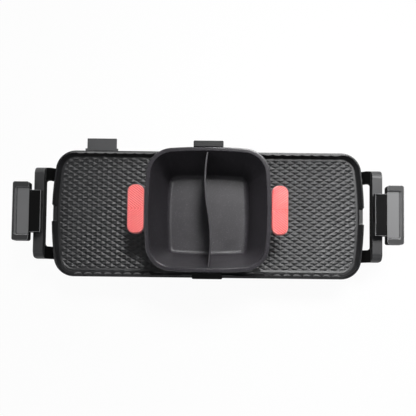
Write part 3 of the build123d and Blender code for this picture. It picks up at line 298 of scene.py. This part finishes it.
# Painted light on the handles: the lighter slope colour is painted highlight on the rounded ends, the near-black side
# colour painted shade on the sides, and the near-black inner base and inner slope painted shade on the arms inside
# handle_arm_end.
handle_moulding = finish(
    "handle_moulding", mould_grain,
    {**fine_grain, "Base": (0.030, 0.030, 0.031, 1), "Slope": (0.05, 0.05, 0.051, 1),
     "Side": (0.005, 0.005, 0.0055, 1), "Inner reach": handle_arm_end, "Inner base": (0.003, 0.003, 0.003, 1),
     "Inner slope": (0.003, 0.003, 0.003, 1), "Outer coat": 0.85, "Inner coat": 0.0, "Gloss low": 0.70,
     "Gloss high": 0.80},
    grain_relief, satin_coat)
# The inlays' sides are darker than their tops: painted shade.
inlay_moulding = finish(
    "inlay_moulding", mould_grain,
    {**fine_grain, "Base": (0.155, 0.155, 0.157, 1), "Side": (0.10, 0.10, 0.10, 1), "Tone change": 0.15,
     "Gloss low": 0.46, "Gloss high": 0.54},
    grain_relief, {"Specular IOR Level": 0.55})
# Painted light on the grips: the near-black side colour is painted shade on the sides, and the light slope and inner
# slope colours painted highlight on sloped faces such as the recess walls; inside grip_neck_end the neck's base
# colour is near-black.
grip_moulding = finish(
    "grip_moulding", mould_grain,
    {**fine_grain, "Base": (0.032, 0.032, 0.033, 1), "Slope": (0.22, 0.22, 0.223, 1),
     "Side": (0.005, 0.005, 0.0055, 1), "Inner reach": grip_neck_end, "Inner base": (0.004, 0.004, 0.004, 1),
     "Inner slope": (0.22, 0.22, 0.223, 1), "Outer coat": 0.7, "Inner coat": 0.0, "Gloss low": 0.55,
     "Gloss high": 0.65},
    grain_relief, satin_coat)
# The sides of the shroud and knobs are darker than their tops: painted shade.
inlet_moulding = finish(
    "inlet_moulding", mould_grain,
    {**fine_grain, "Base": (0.074, 0.074, 0.076, 1), "Side": (0.05, 0.05, 0.052, 1), "Grain scale": 1300.0,
     "Gloss low": 0.5, "Gloss high": 0.6},
    grain_relief, {"Specular IOR Level": 0.3})
# The sleeves' sides are a deeper coral than their tops: painted shade.
coral_silicone = finish(
    "coral_silicone", mould_grain,
    {**silicone_grain, "Base": (0.92, 0.25, 0.245, 1), "Side": (0.86, 0.20, 0.20, 1), "Gloss low": 0.50,
     "Gloss high": 0.62},
    silicone_relief, {"Sheen Weight": 0.15, "Sheen Roughness": 0.5})
# The lighter coral of the ribs is painted highlight on their tops, and the deep red of the field between them painted
# shade; both are copies of the sleeve silicone.
coral_ribs_painted_highlight = finish(
    "coral_ribs_painted_highlight", mould_grain,
    {**silicone_grain, "Base": (1.0, 0.49, 0.48, 1), "Gloss low": 0.50, "Gloss high": 0.62},
    silicone_relief, {"Sheen Weight": 0.15, "Sheen Roughness": 0.5})
coral_field_painted_shade = finish(
    "coral_field_painted_shade", mould_grain,
    {**silicone_grain, "Base": (0.94, 0.028, 0.036, 1), "Gloss low": 0.55, "Gloss high": 0.68},
    silicone_relief, {"Sheen Weight": 0.1, "Sheen Roughness": 0.5})
foot_rubber = finish(
    "foot_rubber", mould_grain,
    {"Base": (0.02, 0.02, 0.02, 1), "Grain scale": 1200.0, "Tone change": 0.3, "Gloss low": 0.6, "Gloss high": 0.75},
    rubber_relief, {})
pale_insulation = finish(
    "pale_insulation", mould_grain,
    {"Base": (0.60, 0.57, 0.50, 1), "Grain scale": 1200.0, "Tone change": 0.15, "Gloss low": 0.5,
     "Gloss high": 0.65},
    grain_relief, {})
braided_sleeve = finish(
    "braided_sleeve", rolled_metal,
    {"Base": (0.66, 0.63, 0.55, 1), "Streak scale": 900.0, "Gloss low": 0.6, "Gloss high": 0.8},
    braid_relief, {})
pressed_steel = finish(
    "pressed_steel", rolled_metal,
    {"Base": (0.60, 0.60, 0.60, 1), "Streak scale": 420.0, "Gloss low": 0.24, "Gloss high": 0.42},
    metal_relief, bare_metal)
heater_sheath = finish(
    "heater_sheath", rolled_metal,
    {"Base": (0.20, 0.17, 0.15, 1), "Streak scale": 500.0, "Gloss low": 0.42, "Gloss high": 0.6},
    metal_relief, bare_metal)
turned_aluminium = finish(
    "turned_aluminium", rolled_metal,
    {"Base": (0.74, 0.74, 0.75, 1), "Streak scale": 600.0, "Gloss low": 0.22, "Gloss high": 0.38},
    metal_relief, bare_metal)
pin_brass = finish(
    "pin_brass", rolled_metal,
    {"Base": (0.74, 0.52, 0.22, 1), "Streak scale": 800.0, "Gloss low": 0.18, "Gloss high": 0.32},
    metal_relief, bare_metal)
lamp_red = finish(
    "lamp_red", mould_grain,
    {"Base": (0.55, 0.02, 0.015, 1), "Grain scale": 600.0, "Tone change": 0.1, "Gloss low": 0.08,
     "Gloss high": 0.16},
    lens_relief, {"Coat Weight": 0.5})

node_finish = {
    grill_coating: ["grill_plate"],
    pot_coating: ["pot_shell", "pot_divider"],
    black_moulding: ["base_shell", "bottom_cover", "control_panel"],
    front_lug_painted_shade: ["front_lug"],
    rear_lug_moulding: ["rear_lug"],
    handle_moulding: ["left_handle", "right_handle"],
    grip_moulding: ["left_grip", "right_grip"],
    inlay_moulding: ["left_grip_inlay", "right_grip_inlay"],
    inlet_moulding: ["socket_shroud", "grill_knob", "pot_knob"],
    coral_silicone: ["left_ear_sleeve", "right_ear_sleeve"],
    foot_rubber: ["rubber_feet"],
    pale_insulation: ["grill_thermostat", "pot_thermostat", "terminal_block", "socket_insulator", "thermal_fuse"],
    braided_sleeve: ["wiring"],
    pressed_steel: ["cover_screws", "handle_screws", "left_reflector", "right_reflector", "heater_saddles",
                    "heating_plate_support", "sensor_holder", "sensor_spring", "grill_knob_shaft",
                    "pot_knob_shaft", "left_hinge_pin", "right_hinge_pin"],
    heater_sheath: ["left_grill_heater", "right_grill_heater", "pot_heater_ring"],
    turned_aluminium: ["pot_heating_plate", "sensor_button"],
    pin_brass: ["socket_pins"],
    lamp_red: ["indicator_lamps"],
}
for material, names in node_finish.items():
    for name in names:
        nodes[name].data.materials.clear()
        nodes[name].data.materials.append(material)


# Building blocks of the scene's own pieces

def piece(name, mesh, material, body):
    """A finished mesh as a piece that moves with a body of the cooker."""
    made = bpy.data.objects.new(name, mesh)
    bpy.context.scene.collection.objects.link(made)
    made.data.materials.append(material)
    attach(made, body)
    return made


def as_mesh(work, name, smooth=False):
    """The finished mesh of a form, its faces turned outward."""
    bmesh.ops.recalc_face_normals(work, faces=work.faces)
    for face in work.faces:
        face.smooth = smooth
    mesh = bpy.data.meshes.new(name)
    work.to_mesh(mesh)
    work.free()
    return mesh


def close_prism(work, top, bottom):
    """Faces over two matching rings and round their sides."""
    work.faces.new(top)
    work.faces.new(bottom[::-1])
    for i in range(len(top)):
        work.faces.new((top[i - 1], bottom[i - 1], bottom[i], top[i]))


def join_rings(work, rings, side_count):
    """Faces along a row of matching rings, on so many of their sides, and over the row's two ends."""
    for near, far in zip(rings, rings[1:]):
        for i in range(side_count):
            after = (i + 1) % len(near)
            work.faces.new((near[i], near[after], far[after], far[i]))
    work.faces.new(rings[0])
    work.faces.new(rings[-1][::-1])


def arc_points(centre, radius, start, end, steps):
    """Points along an arc, its angles in degrees."""
    turns = [math.radians(start + (end - start) * step / steps) for step in range(steps + 1)]
    return [Vector((centre[0] + radius * math.cos(t), centre[1] + radius * math.sin(t), 0)) for t in turns]


# Embossed diamonds on the two grill floors

diamond_x = 17.55 * mm
diamond_y = 10.16 * mm
diamond_rise = 1.5 * mm
diamond_foot = 0.2 * mm
diamond_peak = -0.8 * mm
diamond_columns = range(4, 17)
diamond_rows = range(-20, 21)
lattice_start = {-1: (-4.2 * mm, -2.0 * mm), 1: (-2.7 * mm, -2.0 * mm)}
weld_distance = 0.05 * mm
shortest_cut = 0.01 * mm
field_inner_x = 83.0 * mm
field_outer_x = plate_high.x - 13.2 * mm
field_front = plate_low.y - middle_y + 15.6 * mm
field_rear = plate_high.y - middle_y - 10.4 * mm
field_corner = 23.0 * mm
field_inner_corner = 6.0 * mm
field_end_radius = 578.0 * mm


def end_round(y):
    """Middle of the round between a long side and the bowed end of the field, and the angle where they meet."""
    corner_y = y - math.copysign(field_corner, y)
    reach = field_end_radius - field_corner
    bow_x = field_outer_x - field_end_radius
    return (bow_x + math.sqrt(reach ** 2 - corner_y ** 2), corner_y), math.degrees(math.asin(corner_y / reach))


def field_outline():
    """The convex outline of the embossed field on the right floor, from inner front round to inner rear."""
    front_middle, front_lean = end_round(field_front)
    rear_middle, rear_lean = end_round(field_rear)
    inner_x = field_inner_x + field_inner_corner
    front_inner = (inner_x, field_front + field_inner_corner)
    rear_inner = (inner_x, field_rear - field_inner_corner)
    bow_middle = (field_outer_x - field_end_radius, 0)
    return (arc_points(front_inner, field_inner_corner, 180, 270, 4)
            + arc_points(front_middle, field_corner, 270, 360 + front_lean, 8)
            + arc_points(bow_middle, field_end_radius, front_lean, rear_lean, 10)[1:-1]
            + arc_points(rear_middle, field_corner, rear_lean, 90, 8)
            + arc_points(rear_inner, field_inner_corner, 90, 180, 4))


def on_floor(work, side, name):
    """The mesh of a form drawn about the right basin, set down on the left or right basin's floor."""
    for vertex in work.verts:
        vertex.co = Vector((side * vertex.co.x, vertex.co.y + middle_y, vertex.co.z + basin_floor_z + diamond_foot))
    return as_mesh(work, name)


def diamond_floor(side):
    """A field of low four-sided pyramids, cut to the floor's outline and closed down to it."""
    work = bmesh.new()
    start = Vector((*lattice_start[side], 0))
    to_east = Vector((diamond_x / 2, 0, 0))
    to_north = Vector((0, diamond_y / 2, 0))
    to_peak = Vector((0, diamond_peak, diamond_rise))
    for row in diamond_rows:
        for column in diamond_columns:
            centre = start + Vector(((column + (row % 2) / 2) * diamond_x, row * diamond_y / 2, 0))
            corners = [work.verts.new(centre + step) for step in (to_east, to_north, -to_east, -to_north)]
            peak = work.verts.new(centre + to_peak)
            for first, second in zip(corners, corners[1:] + corners[:1]):
                work.faces.new((first, second, peak))
    bmesh.ops.remove_doubles(work, verts=work.verts, dist=weld_distance)
    outline = field_outline()
    for begin, end in zip(outline, outline[1:] + outline[:1]):
        along = end - begin
        if along.length < shortest_cut:
            continue
        outward = Vector((along.y, -along.x, 0)).normalized()
        bmesh.ops.bisect_plane(
            work, geom=work.verts[:] + work.edges[:] + work.faces[:], plane_co=begin, plane_no=outward,
            clear_outer=True,
        )
    edge = [e for e in work.edges if e.is_boundary]
    skirt = bmesh.ops.extrude_edge_only(work, edges=edge)
    for vertex in (v for v in skirt["geom"] if isinstance(v, bmesh.types.BMVert)):
        vertex.co.z = -diamond_foot
    return on_floor(work, side, "diamonds")


# Smooth band in front of the diamonds

band_width = 4.2 * mm
band_rise = 1.5 * mm
band_end_share = 0.45
band_start_x = field_inner_x + 12 * mm
band_straight_steps = 8
band_turn_steps = 12


def front_band(side):
    """A smooth band that slopes up from the field to the front wall, and runs out round the front corner."""
    middle, lean = end_round(field_front)
    straight = [Vector((band_start_x + (middle[0] - band_start_x) * i / band_straight_steps, field_front, 0))
                for i in range(band_straight_steps)]
    turn = arc_points(middle, field_corner, 270, 360 + lean, band_turn_steps)
    foot = Vector((0, 0, -diamond_foot))
    rings = []
    work = bmesh.new()
    for step, point in enumerate(straight + turn):
        outward = Vector((0, -1, 0)) if step < len(straight) else (point - Vector((*middle, 0))).normalized()
        share = 1 - (1 - band_end_share) * max(step - len(straight), 0) / (len(turn) - 1)
        wide = outward * band_width * share
        rise = Vector((0, 0, band_rise * share))
        rings.append([work.verts.new(v) for v in (point + foot, point, point + wide + rise, point + wide + foot)])
    join_rings(work, rings, len(rings[0]))
    return on_floor(work, side, "band")


# Bevelled crests between the flutes of the front wall

crest_pitch = 17.43 * mm
crest_first_x = 105.8 * mm
crest_count = 8
crest_half_length = 7.0 * mm
crest_reach = 3.3 * mm
crest_depth = 8.4 * mm
crest_slope = math.radians(30)
crest_line_y = plate_low.y - middle_y + 5.1 * mm
crest_steps = 8


def front_crests(side):
    """Bevelled lens shapes on the crests between the flutes of the front wall, their tops sloped to the basin."""
    work = bmesh.new()
    for count in range(crest_count):
        middle_x = crest_first_x + count * crest_pitch
        top, bottom = [], []
        for step in range(crest_steps + 1):
            across = 2 * step / crest_steps - 1
            reach = crest_reach * (1 - across ** 2)
            place = Vector((side * (middle_x + across * crest_half_length), middle_y + crest_line_y + reach, 0))
            top.append(work.verts.new(place + Vector((0, 0, rim_z - reach * math.tan(crest_slope)))))
            bottom.append(work.verts.new(place + Vector((0, 0, rim_z - crest_depth))))
        close_prism(work, top, bottom)
    return as_mesh(work, "crests")


for label, form in (("front_crests", front_crests), ("front_band", front_band), ("grill_diamonds", diamond_floor)):
    for word, side in sides.items():
        piece(f"{word}_{label}", form(side), grill_coating, "plate")


# Chevron ribs on the two ear sleeves, coloured with painted highlight, and a darker field between them, painted shade
# between the ribs

rib_pitch = 3.24 * mm
rib_width = 1.65 * mm
rib_rise = 1.0 * mm
rib_slope = math.radians(37)
rib_inset = 1.0 * mm
rib_section = [(-0.5, -0.35), (-0.36, 0.55), (0.0, 1.0), (0.36, 0.55), (0.5, -0.35)]
rib_end_share = 0.35
rib_counts = range(-22, 23)
rib_search_steps = 120
rib_least_steps = 6
sleeve_corner = 12 * mm
pad_corner = sleeve_corner - rib_inset
pad_corner_steps = 10
field_rise = 0.12 * mm
field_depth = 3 * field_rise


def pad_place(node_name):
    """Middle of a sleeve's top, and the half sizes of the field on it."""
    low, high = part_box(node_name)
    middle = (low + high) / 2
    return (Vector((middle.x, middle.y, high.z)), (high.x - low.x) / 2 - rib_inset,
            (high.y - low.y) / 2 - rib_inset)


def inside_pad(x, y, half_x, half_y):
    over_x = max(abs(x) - (half_x - pad_corner), 0)
    over_y = max(abs(y) - (half_y - pad_corner), 0)
    return math.hypot(over_x, over_y) <= pad_corner


def rib_run(start_y, slope, half_x, half_y, lower):
    """The stretch of one slanted rib that lies on the pad, as its two ends."""
    found = []
    for step in range(rib_search_steps + 1):
        x = -half_x + 2 * half_x * step / rib_search_steps
        y = start_y + x * slope
        if inside_pad(x, y, half_x, half_y) and (y <= -rib_width / 3 if lower else y >= rib_width / 3):
            found.append((x, y))
    return (found[0], found[-1]) if len(found) > rib_least_steps else None


def pad_ribs(node_name, side):
    """Slanted ribs that meet in a chevron at the middle of the sleeve."""
    top, half_x, half_y = pad_place(node_name)
    work = bmesh.new()
    step_y = rib_pitch / math.cos(rib_slope)
    for lower in (False, True):
        slope = math.tan(rib_slope) * side * (-1 if lower else 1)
        for count in rib_counts:
            run = rib_run(count * step_y + step_y / 2, slope, half_x, half_y, lower)
            if run is None:
                continue
            start, end = Vector((*run[0], 0)), Vector((*run[1], 0))
            along = (end - start).normalized()
            across = Vector((-along.y, along.x, 0))
            rings = []
            for point, scale in ((start, rib_end_share), (start + along * rib_width / 2, 1),
                                 (end - along * rib_width / 2, 1), (end, rib_end_share)):
                rings.append([
                    work.verts.new(top + point + across * (u * rib_width)
                                   + Vector((0, 0, rib_rise * (w * scale if w > 0 else w))))
                    for u, w in rib_section
                ])
            join_rings(work, rings, len(rib_section) - 1)
    return as_mesh(work, "ribs", smooth=True)


def pad_field(node_name):
    """A thin skin let into the sleeve's top, its deep red painted shade between the ribs."""
    middle, half_x, half_y = pad_place(node_name)
    outline = []
    for turn, (side_x, side_y) in enumerate(((1, 1), (-1, 1), (-1, -1), (1, -1))):
        corner = (middle.x + side_x * (half_x - pad_corner), middle.y + side_y * (half_y - pad_corner))
        outline += arc_points(corner, pad_corner, 90 * turn, 90 * turn + 90, pad_corner_steps)
    work = bmesh.new()
    top = [work.verts.new(point + Vector((0, 0, middle.z + field_rise))) for point in outline]
    bottom = [work.verts.new(point + Vector((0, 0, middle.z - field_depth))) for point in outline]
    close_prism(work, top, bottom)
    return as_mesh(work, "field")


for word, side in sides.items():
    piece(f"{word}_sleeve_ribs", pad_ribs(f"{word}_ear_sleeve", side), coral_ribs_painted_highlight, "pot")
for word in sides:
    piece(f"{word}_sleeve_shade_field", pad_field(f"{word}_ear_sleeve"), coral_field_painted_shade, "pot")


# Coil spring of the sensor, copied as one piece; the real spring shortens as its button goes down


def coil_spring():
    """The solid's own coil copied as one piece, with the solid hidden."""
    solid = nodes["sensor_spring"]
    mesh = solid.data.copy()
    mesh.transform(solid.matrix_world)
    made = bpy.data.objects.new("sensor_coil", mesh)
    bpy.context.scene.collection.objects.link(made)
    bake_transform(made)
    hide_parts("sensor_spring")


coil_spring()


# Studio: white floor, soft lamps behind and beside the cooker, and the camera above

floor_size = 60
floor_drop = 0.5 * mm
floor_white_share = 0.955


def studio_floor():
    """A floor that shows almost white, and lights the cooker only as grey paint does."""
    bpy.ops.mesh.primitive_plane_add(size=floor_size, location=(0, 0, -floor_drop))
    ground = bpy.context.object
    ground.name = "studio_floor"
    material = bpy.data.materials.new("studio_white")
    material.use_nodes = True
    tree = material.node_tree
    tree.nodes.clear()
    seen = put(tree, "ShaderNodeLightPath")
    either = put(tree, "ShaderNodeMath", None, {0: (seen, "Is Camera Ray"), 1: (seen, "Is Glossy Ray")},
                 operation="MAXIMUM")
    through = put(tree, "ShaderNodeMath", None, {0: (either, 0), 1: (seen, "Is Transmission Ray")},
                  operation="MAXIMUM")
    share = put(tree, "ShaderNodeMath", {1: floor_white_share}, {0: (through, 0)}, operation="MULTIPLY")
    paint = put(tree, "ShaderNodeBsdfDiffuse", {"Color": (0.82, 0.82, 0.82, 1)})
    bright = put(tree, "ShaderNodeEmission", {"Color": (1, 1, 1, 1), "Strength": 1.0})
    mix = put(tree, "ShaderNodeMixShader", None, {"Fac": (share, 0), 1: (paint, 0), 2: (bright, 0)})
    put(tree, "ShaderNodeOutputMaterial", None, {"Surface": (mix, 0)})
    ground.data.materials.append(material)


def soft_light(name, place, target, size, power, spread):
    """A rectangular lamp turned to its target, its power in watts and its spread in degrees."""
    lamp = bpy.data.lights.new(name, "AREA")
    lamp.shape = "RECTANGLE"
    lamp.size, lamp.size_y = size
    lamp.energy = power
    lamp.spread = math.radians(spread)
    made = bpy.data.objects.new(name, lamp)
    bpy.context.scene.collection.objects.link(made)
    made.location = place
    made.rotation_euler = (Vector(target) - Vector(place)).to_track_quat("-Z", "Y").to_euler()


def studio_world():
    """Faint cool light from all round."""
    world = bpy.data.worlds.new("studio_world")
    bpy.context.scene.world = world
    world.use_nodes = True
    back = world.node_tree.nodes["Background"]
    back.inputs["Color"].default_value = (0.9, 0.95, 1.0, 1)
    back.inputs["Strength"].default_value = 0.12


picture_pixels = 416
focal_pixels = 550
shift_pixels = (0.1, 52.95)
sensor_mm = 36.0
camera_x = 0.0036
camera_forward = 0.125
camera_above_rim = 0.970
camera_turn = (2.51, 0.12, 0.69)


def overhead_camera():
    """Almost straight above and a little in front, as the photograph was taken."""
    data = bpy.data.cameras.new("overhead_camera")
    made = bpy.data.objects.new("overhead_camera", data)
    bpy.context.scene.collection.objects.link(made)
    data.sensor_width = sensor_mm
    data.lens = sensor_mm * focal_pixels / picture_pixels
    data.shift_x, data.shift_y = (shift / picture_pixels for shift in shift_pixels)
    made.location = (camera_x, middle_y - camera_forward, rim_z + camera_above_rim)
    made.rotation_euler = [math.radians(turn) for turn in camera_turn]
    bpy.context.scene.camera = made


studio_floor()
studio_world()
soft_light("rear_right_softbox", (0.60, 1.00, 1.90), (0.34, 0.05, 0.07), (1.0, 0.7), 3.7, 36)
soft_light("low_right_softbox", (0.45, 1.60, 0.85), (0.15, 0, 0.07), (0.9, 0.35), 7, 180)
soft_light("low_left_softbox", (-0.50, 1.60, 0.85), (-0.15, 0, 0.07), (0.8, 0.35), 4.5, 180)
soft_light("left_fill", (-1.5, -0.2, 1.4), (-0.1, 0, 0.07), (1.0, 1.0), 7, 180)
soft_light("front_fill", (0, -1.6, 1.3), (0, 0, 0.07), (1.8, 0.8), 1.5, 180)
overhead_camera()

bpy.context.scene.view_settings.view_transform = "Standard"
